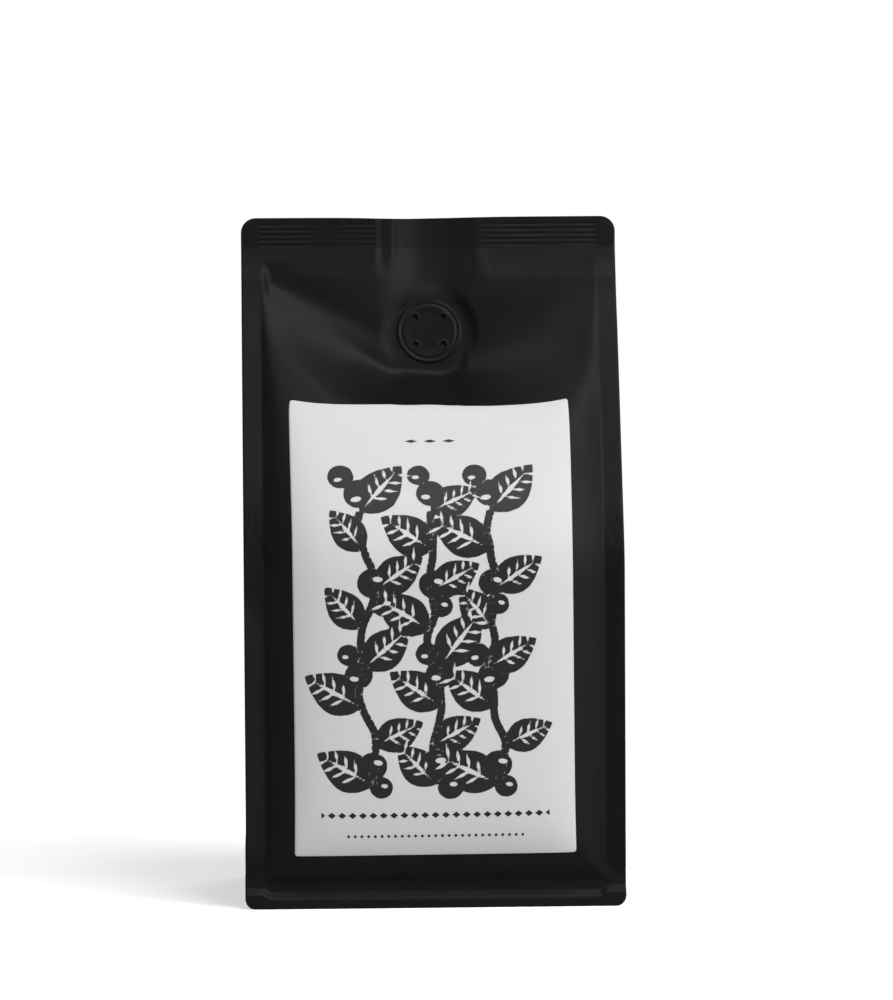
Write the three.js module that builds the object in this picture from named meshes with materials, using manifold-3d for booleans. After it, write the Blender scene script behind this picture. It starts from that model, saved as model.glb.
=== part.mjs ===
// A flat-bottom coffee bag, filled and sealed shut: the film pouch with its four corner seals, the crimped
// top seal and the bottom seal, a paper label that follows the bulging front, and the round degassing valve
// that shows above the label. Lengths are millimetres, +Z is up, the front faces -Y, and the origin is on
// the ground under the middle of the bag.

import * as THREE from "three";
import { mergeVertices } from "three/addons/utils/BufferGeometryUtils.js";
import Module from "manifold-3d";

const wasm = await Module();
wasm.setup();

// Sizes of the flat bag
const bagWidth = 125;
const bagHeight = 226.5;
const gussetWidth = 80;
const cornerSealWidth = 6.5;
const topSealHeight = 10;
const sealThickness = 1.2;
const cornerSealThickness = 1;
const topCornerRadius = 5;
const bottomCornerRadius = 3.4;

// The bottom seal stands a little in front of the panels above it
const bottomSealHeight = 8.5;
const bottomSealReach = 40.8;
const bottomGrooveDepth = 38.5;
const bottomShoulderInPanel = 3.2;
const bottomShoulderInCorner = 4.8;
const bottomFootEnd = 20;

// The filled shape: upright walls to the shoulder, a lean back to the neck, then flat film up to the seal
const shoulderHeight = 122;
const shoulderRounding = 0.15;
const neckHeight = 206;
const neckParting = 0.2;
const panelBulge = 13;
const panelRounding = 60;
const panelNarrowing = 90;
const sideBulge = 6;
const sideRounding = 45;
const sideBulgeNarrows = 96;
const lowerExtraWidth = 0.3;
const creaseReach = 40;
const foldStart = 26;

// Slopes that turn the corner seals towards the front, below and above the shoulder
const cornerTurn = {
  left: { low: 0.28, high: -0.08, from: 92, to: 104, buckle: -0.2 },
  right: { low: 0.5, high: 0.09, from: 112, to: 132, buckle: 0 },
};
const buckleHeight = 121;
const buckleSpread = 14;
const cornerTurnEnd = 190;

// Empty film above the coffee: it hangs from the seal, falls back from the taut film along a V, and has a
// trough on the V and a channel between the folded gussets
const foldLineLow = 166;
const foldLineRise = 40;
const foldLineShift = 0.08;
const looseStart = 156;
const looseStartMiddle = 164;
const looseEnd = 7;
const looseStripHeight = 10;
const looseSlopeInStrip = 0.27;
const looseSlopeBelow = 0.14;
const stripSlopeLessInMiddle = 0.12;
const slopeBelowLessInMiddle = 0.04;
const troughDepthLeft = 1.2;
const troughDepthRight = 0.25;
const troughRise = 6;
const troughSpread = 6;
const channelDepthLow = 0.6;
const channelDepthHigh = 3.9;
const channelFoot = 142;
const channelFlat = 3;
const channelHalfWidth = 18.5;
const sealBow = 1.6;
const sealBowFoot = 180;

// The valve behind the film and its four vent holes
const valveRadius = 11;
const valveHeight = 188.5;
const valveLean = THREE.MathUtils.degToRad(12);
const valveThickness = 1.1;
const valveGrooveRadius = 9;
const valveGrooveWidth = 0.9;
const valveSeatRadius = 11.5;
const ventCount = 4;
const ventRadius = 0.85;
const ventCircleRadius = 6.5;
const ventDepth = 0.8;

// The paper label
const labelWidth = 92.4;
const labelHeight = 153;
const labelFoot = 18.2;
const labelShift = -0.6;
const labelThickness = 0.4;

// Touching pieces keep this gap
const clearance = 0.3;

const halfWidth = bagWidth / 2;
const seamHalfWidth = halfWidth - cornerSealWidth;
const halfGusset = gussetWidth / 2;
const sealFoot = bagHeight - topSealHeight;

function clamp(value, low = 0, high = 1) {
  return Math.min(high, Math.max(low, value));
}

function smooth(from, to, value) {
  const t = clamp((value - from) / (to - from));
  return t * t * (3 - 2 * t);
}

function bell(value) {
  return Math.exp(-value * value);
}

// A straight climb from 0 to 1 with rounded ends
function softRamp(t, rounding) {
  const lift = (a) => Math.max(rounding - Math.abs(a), 0) ** 2 / (4 * rounding);
  return clamp(t) + lift(t) - lift(t - 1);
}

// Nearly the least of several values between 0 and 1, without a crease where they meet
function leastOf(values) {
  const power = 4;
  let sum = 0;
  for (const v of values) sum += Math.max(v, 1e-4) ** -power;
  return sum ** (-1 / power);
}

// How far a seam stands from the mid plane of the bag
function seamDepth(z) {
  const lean = softRamp((z - shoulderHeight) / (neckHeight - shoulderHeight), shoulderRounding);
  const foot = (halfGusset - bottomGrooveDepth) * (1 - smooth(bottomSealHeight, bottomFootEnd, z));
  const parting = neckParting * clamp(sealFoot - z, 0, sealFoot - neckHeight);
  return (halfGusset - foot) * (1 - lean) + (sealThickness / 2 + parting) * lean;
}

// How far the coffee pushes a panel out past its seams. Side runs from -1 at the left seam to 1
function panelBulgeAt(side, z) {
  const across = 1 - Math.abs(side) ** 3;
  const low = 1 - (1 - clamp((z - bottomSealHeight) / panelRounding)) ** 3;
  const high = clamp((neckHeight + 4 - z) / panelNarrowing) ** 1.5;
  return panelBulge * leastOf([across, low, high]);
}

// Height of the V where taut film meets empty film, lowest a little right of the middle
function foldLine(side) {
  return foldLineLow + foldLineRise * Math.sqrt((side - foldLineShift) ** 2 + 0.01);
}

// Empty film comes forward below the seal, then hangs nearly straight
function looseDepth(side, z) {
  const middle = bell(side / 0.4);
  const stripSlope = looseSlopeInStrip - stripSlopeLessInMiddle * middle;
  const slopeBelow = looseSlopeBelow - slopeBelowLessInMiddle * middle;
  const upper = stripSlope * clamp(sealFoot - z, 0, looseStripHeight);
  const lower = slopeBelow * Math.max(sealFoot - looseStripHeight - z, 0);
  const dip = troughDepthLeft + (troughDepthRight - troughDepthLeft) * smooth(-0.1, 0.5, side);
  const trough = dip * bell((z - foldLine(side) - troughRise) / troughSpread) * (1 - middle);
  return sealThickness / 2 + upper + lower - trough;
}

// 0 on the film that the coffee pushes out, and 1 above the V
function isLoose(side, z) {
  const start = looseStart + (looseStartMiddle - looseStart) * bell(side / 0.3);
  return smooth(start, foldLine(side) + looseEnd, z) * (1 - side ** 8);
}

// The flat film lies back between the folded gussets, and the seal's two ends bow back a little
function sealShift(x, z) {
  const inChannel = 1 - smooth(channelFlat, channelHalfWidth, Math.abs(x));
  const low = channelDepthLow * smooth(channelFoot, channelFoot + 30, z);
  const reach = low + channelDepthHigh * smooth(sealBowFoot, sealFoot, z);
  const bow = sealBow * (x / seamHalfWidth) ** 2 * smooth(sealBowFoot, sealFoot, z);
  return inChannel * reach + bow;
}

// How far each corner seal turns towards the front, as a slope
function cornerFlare(x, z) {
  const side = x < 0 ? cornerTurn.left : cornerTurn.right;
  const straight = side.low + (side.high - side.low) * smooth(side.from, side.to, z);
  const turn = straight + side.buckle * bell((z - buckleHeight) / buckleSpread);
  return turn * smooth(bottomSealHeight, bottomFootEnd, z) * (1 - smooth(cornerTurnEnd, neckHeight, z));
}

// The bottom seal's own profile, higher where it crosses the corner seals
function bottomSealDepth(x, z) {
  const inCorner = smooth(seamHalfWidth - 2, seamHalfWidth + 1, Math.abs(x));
  const shoulder = bottomShoulderInPanel + (bottomShoulderInCorner - bottomShoulderInPanel) * inCorner;
  const drop = smooth(shoulder - 1.2, shoulder + 2.6, z);
  return bottomSealReach - (bottomSealReach - bottomGrooveDepth) * drop;
}

// Depth of a panel and its corner seals from the mid plane, before the valve's flat seat. Slack says how
// far the film above the coffee falls back
function panelDepth(x, z, slack) {
  const side = clamp(x / seamHalfWidth, -1, 1);
  const beyond = Math.max(Math.abs(x) - seamHalfWidth, 0);
  const full = seamDepth(z) + panelBulgeAt(side, z);
  const film = full + (looseDepth(side, z) - full) * slack * isLoose(side, z);
  const panel = film + beyond * cornerFlare(x, z);
  const inSeal = 1 - smooth(bottomShoulderInPanel + 2, bottomSealHeight + 1, z);
  return panel + (bottomSealDepth(x, z) - panel) * inSeal;
}

// The valve is rigid, so the film is flat over it
const valveSeatDepth = panelDepth(0, valveHeight, 1) - sealShift(0, valveHeight);

function frontDepth(x, z) {
  const up = (z - valveHeight) / Math.cos(valveLean);
  const onSeat = 1 - smooth(valveSeatRadius, valveSeatRadius * 1.5, Math.hypot(x, up));
  const seat = valveSeatDepth - (z - valveHeight) * Math.tan(valveLean);
  const film = panelDepth(x, z, 1) - sealShift(x, z);
  return film + (seat - film) * onSeat;
}

function backDepth(x, z) {
  return panelDepth(x, z, 0.6) + sealShift(x, z);
}

// Half the width of the bag at a height, with the rounded corners of both seals
function outlineHalfWidth(z) {
  const extra = lowerExtraWidth * (1 - smooth(bottomSealHeight, bottomFootEnd, z));
  const above = Math.max(z - (bagHeight - topCornerRadius), 0);
  const below = Math.max(bottomCornerRadius - z, 0);
  const topCut = topCornerRadius - Math.sqrt(Math.max(topCornerRadius ** 2 - above ** 2, 0));
  const bottomCut = bottomCornerRadius - Math.sqrt(Math.max(bottomCornerRadius ** 2 - below ** 2, 0));
  return halfWidth + extra - topCut - bottomCut;
}

// Depth of the gusset's fold behind the corner seals, 0 where the side wall is full
function foldDepth(z) {
  const open = clamp(seamDepth(z) / halfGusset);
  return creaseReach * Math.sqrt(1 - open ** 2) * smooth(shoulderHeight, shoulderHeight + foldStart, z);
}

// A side wall's distance from the middle: it bulges below the shoulder and folds inwards above it
function gussetX(toSeam, z) {
  const low = 1 - (1 - clamp((z - bottomSealHeight) / sideRounding)) ** 3;
  const high = 1 - smooth(sideBulgeNarrows, shoulderHeight + 14, z);
  const bulge = sideBulge * leastOf([1 - toSeam ** 2.5, low, high]);
  return seamHalfWidth + bulge - foldDepth(z) * (1 - toSeam) ** 1.1;
}

// Heights from a list of zones, each with its number of steps
function heightsOf(zones) {
  const heights = [zones[0].from];
  for (const { from, to, steps } of zones) {
    for (let i = 1; i <= steps; i++) heights.push(from + ((to - from) * i) / steps);
  }
  return heights;
}

const wallZones = [
  { from: bottomCornerRadius, to: 11.5, steps: 8 },
  { from: 11.5, to: 32, steps: 6 },
  { from: 32, to: 112, steps: 7 },
  { from: 112, to: 154, steps: 7 },
  { from: 154, to: 208, steps: 18 },
  { from: 208, to: sealFoot, steps: 2 },
];
const cornerSteps = 4;
const frontSteps = 30;
const backSteps = 16;

function wallHeights() {
  const heights = [];
  for (let i = 0; i < cornerSteps; i++) {
    heights.push(bottomCornerRadius * (1 - Math.cos((i / cornerSteps) * (Math.PI / 2))));
  }
  heights.push(...heightsOf(wallZones));
  for (let i = 0; i <= cornerSteps; i++) {
    const angle = (i / cornerSteps) * (Math.PI / 2);
    heights.push(bagHeight - topCornerRadius + topCornerRadius * Math.sin(angle));
  }
  return heights;
}

// A closed surface through rings that have the same number of points, each ring at one height
function loft(rings) {
  const count = rings[0].length;
  const positions = rings.flat().flatMap((p) => [p.x, p.y, p.z]);
  const index = [];
  for (let j = 0; j + 1 < rings.length; j++) {
    for (let i = 0; i < count; i++) {
      const a = j * count + i;
      const b = j * count + ((i + 1) % count);
      index.push(a, b, b + count, a, b + count, a + count);
    }
  }
  const cap = (ring, offset, flip) => {
    const outline = ring.map((p) => new THREE.Vector2(p.x, p.y));
    for (const [a, b, c] of THREE.ShapeUtils.triangulateShape(outline, [])) {
      index.push(offset + a, offset + (flip ? c : b), offset + (flip ? b : c));
    }
  };
  cap(rings[0], 0, true);
  cap(rings[rings.length - 1], (rings.length - 1) * count, false);
  const geometry = new THREE.BufferGeometry();
  geometry.setAttribute("position", new THREE.Float32BufferAttribute(positions, 3));
  geometry.setIndex(index);
  return geometry;
}

function solidOf(geometry) {
  const bare = geometry.clone();
  bare.deleteAttribute("normal");
  bare.deleteAttribute("uv");
  const merged = mergeVertices(bare, 1e-4);
  return new wasm.Manifold(
    new wasm.Mesh({
      numProp: 3,
      vertProperties: new Float32Array(merged.attributes.position.array),
      triVerts: new Uint32Array(merged.index.array),
    }),
  );
}

function geometryOf(solid) {
  const mesh = solid.getMesh();
  const geometry = new THREE.BufferGeometry();
  geometry.setAttribute("position", new THREE.Float32BufferAttribute(mesh.vertProperties, 3));
  geometry.setIndex(new THREE.BufferAttribute(mesh.triVerts, 1));
  return geometry;
}

// Places across a panel: even steps between the seams, then the corner seal on each side
function placesAcross(z, steps) {
  const tip = outlineHalfWidth(z);
  const places = [-tip];
  for (let i = 0; i <= steps; i++) places.push(seamHalfWidth * (-1 + (2 * i) / steps));
  places.push(tip);
  return places;
}

// The bag as if its sides were not folded in: everything between the front and the back film
function fullRing(z) {
  const front = placesAcross(z, frontSteps).map((x) => new THREE.Vector3(x, -frontDepth(x, z), z));
  const back = placesAcross(z, backSteps).map((x) => new THREE.Vector3(x, backDepth(x, z), z));
  return [...front, ...back.reverse()];
}

// The open space beside a side wall, between the front and the back corner seal
function sideSpaceRing(side, z) {
  const beyond = halfWidth + 4;
  const gap = seamDepth(z) - Math.min(cornerSealThickness, 0.72 * seamDepth(z));
  const thickness = seamDepth(z) - gap;
  const ring = [new THREE.Vector3(side * beyond, thickness - frontDepth(side * beyond, z), z)];
  const steps = 12;
  for (let i = 0; i <= steps; i++) {
    const t = -1 + (2 * i) / steps;
    const x = side * gussetX(Math.abs(t), z);
    ring.push(new THREE.Vector3(x, gap * t + sealShift(x, z), z));
  }
  ring.push(new THREE.Vector3(side * beyond, backDepth(side * beyond, z) - thickness, z));
  return side > 0 ? ring.reverse() : ring;
}

function buildPouch() {
  const full = solidOf(loft(wallHeights().map(fullRing)));
  const heights = [-2, ...heightsOf([{ from: 1, to: bottomCornerRadius, steps: 1 }, ...wallZones])];
  const right = solidOf(loft(heights.map((z) => sideSpaceRing(1, z))));
  const left = solidOf(loft(heights.map((z) => sideSpaceRing(-1, z))));
  return geometryOf(full.subtract(right).subtract(left));
}

// Length along the film is kept: the paper bends over the bulge but does not stretch
function walk(start, length, slope) {
  const steps = 60;
  let place = start;
  for (let i = 0; i < steps; i++) place += length / steps / Math.hypot(1, slope(place));
  return place;
}

function frontSlope(x, z) {
  const h = 0.05;
  return {
    x: (frontDepth(x + h, z) - frontDepth(x - h, z)) / (2 * h),
    z: (frontDepth(x, z + h) - frontDepth(x, z - h)) / (2 * h),
  };
}

// A point of the label, from its own flat coordinates and its height over the film
function onLabel(across, up, rise) {
  const z = walk(labelFoot, up, (place) => frontSlope(across, place).z);
  const x = walk(labelShift, across, (place) => frontSlope(place, z).x);
  const slope = frontSlope(x, z);
  const normal = new THREE.Vector3(-slope.x, -1, -slope.z).normalize();
  return new THREE.Vector3(x, -frontDepth(x, z), z).addScaledVector(normal, rise);
}

function buildLabel() {
  const columns = 20;
  const rows = 34;
  const rings = [];
  for (let j = 0; j <= rows; j++) {
    const outer = [];
    const inner = [];
    for (let i = 0; i <= columns; i++) {
      const across = labelWidth * (i / columns - 0.5);
      const up = (labelHeight * j) / rows;
      outer.push(onLabel(across, up, clearance + labelThickness));
      inner.push(onLabel(across, up, clearance));
    }
    rings.push([...outer, ...inner.reverse()]);
  }
  return loft(rings);
}

// The valve under its film: a disc with a rounded rim, a groove inside it, and blind vent holes
function buildValve() {
  const rimRound = 0.5;
  const grooveIn = valveGrooveRadius - valveGrooveWidth;
  const dish = 0.25;
  const profile = [new THREE.Vector2(0, 0), new THREE.Vector2(valveRadius, 0)];
  for (let i = 0; i <= 3; i++) {
    const angle = (i / 3) * (Math.PI / 2);
    const r = valveRadius - rimRound + rimRound * Math.cos(angle);
    profile.push(new THREE.Vector2(r, valveThickness - rimRound + rimRound * Math.sin(angle)));
  }
  profile.push(new THREE.Vector2(valveGrooveRadius, valveThickness));
  profile.push(new THREE.Vector2(valveGrooveRadius - valveGrooveWidth / 2, valveThickness - 0.45));
  profile.push(new THREE.Vector2(grooveIn, valveThickness - 0.1));
  profile.push(new THREE.Vector2(grooveIn / 2, valveThickness - dish));
  profile.push(new THREE.Vector2(0, valveThickness - dish));
  let valve = solidOf(new THREE.LatheGeometry(profile, 40));
  for (let i = 0; i < ventCount; i++) {
    const angle = ((i + 0.5) / ventCount) * Math.PI * 2;
    const vent = new THREE.CylinderGeometry(ventRadius, ventRadius, 2 * ventDepth, 10);
    const x = ventCircleRadius * Math.cos(angle);
    vent.translate(x, valveThickness, ventCircleRadius * Math.sin(angle));
    valve = valve.subtract(solidOf(vent));
  }
  return geometryOf(valve);
}

const film = new THREE.MeshStandardMaterial({ color: 0x141414, roughness: 0.45, metalness: 0 });
const paper = new THREE.MeshStandardMaterial({ color: 0xe6e5e3, roughness: 0.7, metalness: 0 });
const valveFilm = new THREE.MeshStandardMaterial({ color: 0x121212, roughness: 0.5, metalness: 0 });

const pouch = new THREE.Mesh(buildPouch(), film);
pouch.name = "pouch";

const label = new THREE.Mesh(buildLabel(), paper);
label.name = "label";

const valve = new THREE.Mesh(buildValve(), valveFilm);
valve.name = "valve";
valve.rotation.x = Math.PI - valveLean;
valve.position.set(
  0,
  -valveSeatDepth - clearance * Math.cos(valveLean),
  valveHeight + clearance * Math.sin(valveLean),
);

const bag = new THREE.Group();
bag.add(pouch, label, valve);

export default bag;
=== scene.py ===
# %% [markdown]
# # A filled coffee bag
# This lesson dresses the measured model of a flat-bottom coffee bag for a photograph. The bag is black
# laminated film, folded and welded along four corner seals, a top seal and a bottom seal. A paper label is
# stuck on its bulging front, and a round degassing valve sits behind the film above the label.
#
# The measured model comes first, because every piece made here has to stay in its place and size.

# %% Load the measured model
import math

import bpy
import numpy as np
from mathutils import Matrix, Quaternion, Vector, geometry


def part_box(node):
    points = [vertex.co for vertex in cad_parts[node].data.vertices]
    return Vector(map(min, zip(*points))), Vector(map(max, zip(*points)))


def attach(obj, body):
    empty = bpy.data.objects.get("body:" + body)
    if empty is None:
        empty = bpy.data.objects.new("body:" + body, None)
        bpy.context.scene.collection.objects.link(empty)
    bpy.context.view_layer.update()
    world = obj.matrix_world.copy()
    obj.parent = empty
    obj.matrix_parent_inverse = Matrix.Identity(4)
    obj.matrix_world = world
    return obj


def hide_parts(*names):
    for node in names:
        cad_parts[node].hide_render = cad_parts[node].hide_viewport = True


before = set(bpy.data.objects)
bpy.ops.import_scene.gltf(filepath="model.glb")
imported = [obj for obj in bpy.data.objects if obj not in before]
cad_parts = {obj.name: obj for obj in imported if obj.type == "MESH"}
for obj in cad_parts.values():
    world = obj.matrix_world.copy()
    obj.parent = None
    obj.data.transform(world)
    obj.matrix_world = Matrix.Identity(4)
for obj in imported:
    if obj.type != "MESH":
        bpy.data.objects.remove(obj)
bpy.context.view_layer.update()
MM = 0.001
pouch_low, pouch_high = (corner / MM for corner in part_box("pouch"))
valve_low, valve_high = (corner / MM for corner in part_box("valve"))
print("pouch, mm:", [round(v, 1) for v in pouch_high - pouch_low])

# %% [markdown]
# ## Driving sizes
# The shape is worked out in millimetres, because that is how a pouch maker writes a drawing, and a mesh is
# turned into metres only when it is made. The overall sizes are read from the measured model. The others
# are the widths of the seals and folds, which a maker would also give.

# %% Driving sizes
LOWER_EXTRA = 0.3
HALF_WIDTH = pouch_high.x - LOWER_EXTRA
BAG_HEIGHT = pouch_high.z
HALF_GUSSET = 40.0
CORNER_SEAL = 6.5
SEAM_X = HALF_WIDTH - CORNER_SEAL
SEAL_FOOT = BAG_HEIGHT - 10
SEAL_THICKNESS = 1.2
TOP_CORNER_RADIUS = 5.0
BOTTOM_CORNER_RADIUS = 3.4
BOTTOM_SEAL = 8.5
BOTTOM_RIM = 40.6
PANEL_BULGE = 13.0
SIDE_BULGE = 6.0
SHOULDER = 122.0
NECK = 206.0
V_FOOT = 166.0
V_RISE = 40.0
VALVE_RADIUS = (valve_high.x - valve_low.x) / 2
VALVE_HEIGHT = 188.5
VALVE_LEAN = math.radians(12)
print("seams", round(SEAM_X, 1), "mm from the middle, top seal from", round(SEAL_FOOT, 1), "mm up")

# %% [markdown]
# ## Small curve helpers
# Film never turns a sharp corner, so nearly every shape below is blended from a few curves: a smooth step, a
# bell, a straight ramp with rounded ends, a rounded minimum, and a line that wanders slowly. They work on
# whole arrays of points at once, which keeps a dense mesh quick to make.


# %% Curve helpers
def smooth(start, end, value):
    t = np.clip((value - start) / (end - start), 0, 1)
    return t * t * (3 - 2 * t)


def bell(value):
    return np.exp(-value * value)


def soft_ramp(t, rounding):
    def lift(a):
        return np.maximum(rounding - np.abs(a), 0) ** 2 / (4 * rounding)

    return np.clip(t, 0, 1) + lift(t) - lift(t - 1)


def least_of(*values, power=4):
    return sum(np.maximum(v, 1e-4) ** -power for v in values) ** (-1 / power)


def wander(value, seed, octaves=3):
    """A smooth random curve around 0, the same on every run."""
    random = np.random.default_rng(seed)
    total = 0
    for octave in range(octaves):
        phase, frequency = random.uniform(0, 2 * math.pi), 2**octave * random.uniform(0.8, 1.2)
        total = total + np.sin(value * frequency + phase) / 2**octave
    return total


print("smooth step half way:", smooth(0, 1, 0.5))

# %% [markdown]
# ## The filled shape
# Up to its shoulder the bag is a box with pillowed walls, because beans push every panel out between its
# seams. From the shoulder to the neck both panels lean together, and above the neck the film is flat and
# welded. Each function below gives one part of that: how deep the seams stand, how far a panel bulges
# between them, where slack film sags, and how the seal is pressed back between the folded gussets.


# %% The seams and the panels between them
def seam_depth(z):
    lean = soft_ramp((z - SHOULDER) / (NECK - SHOULDER), 0.15)
    foot = 1.5 * (1 - smooth(BOTTOM_SEAL, 20, z))
    parting = 0.2 * np.clip(SEAL_FOOT - z, 0, SEAL_FOOT - NECK)
    return (HALF_GUSSET - foot) * (1 - lean) + (SEAL_THICKNESS / 2 + parting) * lean


def panel_bulge(side, z):
    """Side runs from -1 at the left seam to 1 at the right one."""
    across = 1 - np.abs(side) ** 3
    low = 1 - (1 - np.clip((z - BOTTOM_SEAL) / 60, 0, 1)) ** 3
    high = np.clip((NECK + 4 - z) / 90, 0, 1) ** 1.5
    return PANEL_BULGE * least_of(across, low, high)


def fold_line(side):
    """Height of the V where taut film meets empty film, lowest a little right of the middle."""
    return V_FOOT + V_RISE * np.sqrt((side - 0.08) ** 2 + 0.01)


def loose_depth(side, z):
    """Empty film comes forward below the seal, then hangs nearly straight, fuller right of the valve."""
    middle = bell(side / 0.4)
    upper = (0.27 - 0.12 * middle) * np.clip(SEAL_FOOT - z, 0, 10)
    lower = (0.14 - 0.04 * middle) * np.maximum(SEAL_FOOT - 10 - z, 0)
    pillow = 1.4 * smooth(0, 0.3, side) * bell((side - 0.36) / 0.32) * smooth(SEAL_FOOT, SEAL_FOOT - 18, z)
    return SEAL_THICKNESS / 2 + upper + lower + pillow


def valley_depth(side, z):
    """Above the V the film is drawn in along its left arm, and a little along its right one."""
    reach = (1 - bell(side / 0.4)) * (1 - smooth(0.94, 1, np.abs(side)))
    reach = reach * (1 - smooth(209, 214, z))
    return (2.0 - 1.75 * smooth(-0.1, 0.5, side)) * reach * bell((z - 181 - 26 * np.abs(side)) / 5.5)


def is_loose(side, z):
    """0 on the film that beans push out, and 1 above the V, whose left arm turns more sharply."""
    left = smooth(0.05, -0.3, side)
    arm = 143 + 53 * np.sqrt(side**2 + 0.06)
    sharp_start = 163 + (arm - 176 + np.hypot(arm - 176, 4)) / 2
    start = 156 + 6.5 * bell(side / 0.3)
    end = fold_line(side) + 7
    return smooth(start + (sharp_start - start) * left, end + (arm + 15 - end) * left, z) * (1 - side**8)


def seal_shift(x, z):
    """How far the flat film lies back: most between the folded gussets, and a little at both ends."""
    in_channel = 1 - smooth(1, 18.5, np.abs(x))
    reach = 0.6 * smooth(142, 172, z) + 4.2 * smooth(180, SEAL_FOOT, z)
    return in_channel * reach + 1.6 * (x / SEAM_X) ** 2 * smooth(180, SEAL_FOOT, z)


def corner_turn(x, z):
    """How far each corner seal turns towards the front, as a slope."""
    left = 0.28 - 0.36 * smooth(92, 104, z) - 0.2 * bell((z - 121) / 14)
    right = 0.5 - 0.41 * smooth(112, 132, z)
    turn = np.where(x < 0, left, right)
    return turn * smooth(BOTTOM_SEAL, 20, z) * (1 - smooth(190, NECK, z))


print("seam depth at the base, shoulder and seal:", [round(float(seam_depth(z)), 2) for z in (30, 122, 214)])


# %% The bottom seal and the two panels
def bottom_seal_depth(x, z):
    """The rim bows forward a little and stands out below the groove."""
    in_corner = smooth(SEAM_X - 2, SEAM_X + 1, np.abs(x))
    shoulder = 3.2 + 1.6 * in_corner
    bow = 0.3 * (1 - (x / HALF_WIDTH) ** 2)
    return BOTTOM_RIM + bow - 2.0 * smooth(shoulder - 0.6, shoulder + 2.6, z)


def panel_depth(x, z, slack):
    side = np.clip(x / SEAM_X, -1, 1)
    beyond = np.maximum(np.abs(x) - SEAM_X, 0)
    full = seam_depth(z) + panel_bulge(side, z)
    film = full + (loose_depth(side, z) - full) * slack * is_loose(side, z) - valley_depth(side, z) * slack
    panel = film + beyond * corner_turn(x, z)
    in_seal = 1 - smooth(5.2, BOTTOM_SEAL + 1, z)
    return panel + (bottom_seal_depth(x, z) - panel) * in_seal


VALVE_SEAT = float(panel_depth(0.0, VALVE_HEIGHT, 1) - seal_shift(0.0, VALVE_HEIGHT))


def front_form(x, z):
    """The front's large form, with a flat, leaning seat round the valve."""
    up = (z - VALVE_HEIGHT) / math.cos(VALVE_LEAN)
    on_seat = 1 - smooth(11.5, 17.2, np.hypot(x, up))
    seat = VALVE_SEAT - (z - VALVE_HEIGHT) * math.tan(VALVE_LEAN)
    film = panel_depth(x, z, 1) - seal_shift(x, z)
    return film + (seat - film) * on_seat


def back_form(x, z):
    return panel_depth(x, z, 0.6) + seal_shift(x, z)


print("valve seat stands", round(VALVE_SEAT, 1), "mm before the middle of the bag")

# %% [markdown]
# ## Creases
# The measured model has the large forms only. Film also keeps small marks: a pucker where each gusset ends
# inside the top seal, a diagonal crease below the right end of the seal, a soft fold beside the stiff valve,
# buckles in the corner seals where they turn at the shoulder, and a ridge towards each bottom corner. Each
# one is a ridge or a crease along a short line.


# %% Creases of the front
def ridge(x, z, start, end, width, height):
    """A soft ridge (or, with a negative height, a crease) along a line, fading at both ends."""
    (x0, z0), (x1, z1) = start, end
    length = math.hypot(x1 - x0, z1 - z0)
    along = ((x - x0) * (x1 - x0) + (z - z0) * (z1 - z0)) / length**2
    aside = ((x - x0) * (z1 - z0) - (z - z0) * (x1 - x0)) / length
    return height * bell(aside / width) * smooth(-0.15, 0.3, along) * (1 - smooth(0.7, 1.15, along))


FRONT_CREASES = [
    ((-15.6, 208), (-15.6, 236), 1.5, -0.52),
    ((-12.2, 210), (-12.2, 236), 1.6, 0.7),
    ((15.9, 205), (15.9, 232), 1.3, 0.4),
    ((18.3, 206), (18.0, 216), 1.6, 0.3),
    ((53, 212), (42, 192), 2.6, -0.45),
    ((12.5, 174), (12.5, 196), 1.6, 0.35),
    ((-59, 134), (-59.5, 123), 0.9, -0.35),
    ((-58.5, 123), (-55, 112), 0.8, -0.4),
    ((60.5, 136), (61.5, 126), 1.0, 0.4),
    ((57.5, 128), (59.5, 120), 0.9, -0.35),
    ((-51, 16), (-60.5, 6.5), 1.5, 0.5),
    ((51, 16), (60.5, 6.5), 1.5, 0.5),
]
VALVE_POCKET = 0.85


def front_depth(x, z):
    """The front film with its creases, and a pocket that only the valve's disc covers."""
    from_valve = np.hypot(x, (z - VALVE_HEIGHT) / math.cos(VALVE_LEAN))
    pocket = VALVE_POCKET * (1 - smooth(9.2, 10.2, from_valve))
    return front_form(x, z) + sum(ridge(x, z, *crease) for crease in FRONT_CREASES) - pocket


def back_depth(x, z):
    drape = 0.25 * wander(x * 0.16 + z * 0.05, 5) * smooth(120, 150, z) * (1 - smooth(NECK, SEAL_FOOT, z))
    return back_form(x, z) + drape * (1 - np.clip(np.abs(x) / SEAM_X, 0, 1) ** 4)


print(len(FRONT_CREASES), "creases on the front")


# %% The outline and the folding sides
def corner_cut(distance, radius):
    inside = np.clip(distance, 0, radius)
    return radius - np.sqrt(radius**2 - inside**2)


def half_width(z):
    extra = LOWER_EXTRA * (1 - smooth(BOTTOM_SEAL, 20, z))
    top = corner_cut(z - (BAG_HEIGHT - TOP_CORNER_RADIUS), TOP_CORNER_RADIUS)
    return HALF_WIDTH + extra - top - corner_cut(BOTTOM_CORNER_RADIUS - z, BOTTOM_CORNER_RADIUS)


def fold_depth(z):
    open_part = np.clip(seam_depth(z) / HALF_GUSSET, 0, 1)
    return HALF_GUSSET * np.sqrt(1 - open_part**2) * smooth(SHOULDER, SHOULDER + 26, z)


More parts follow.
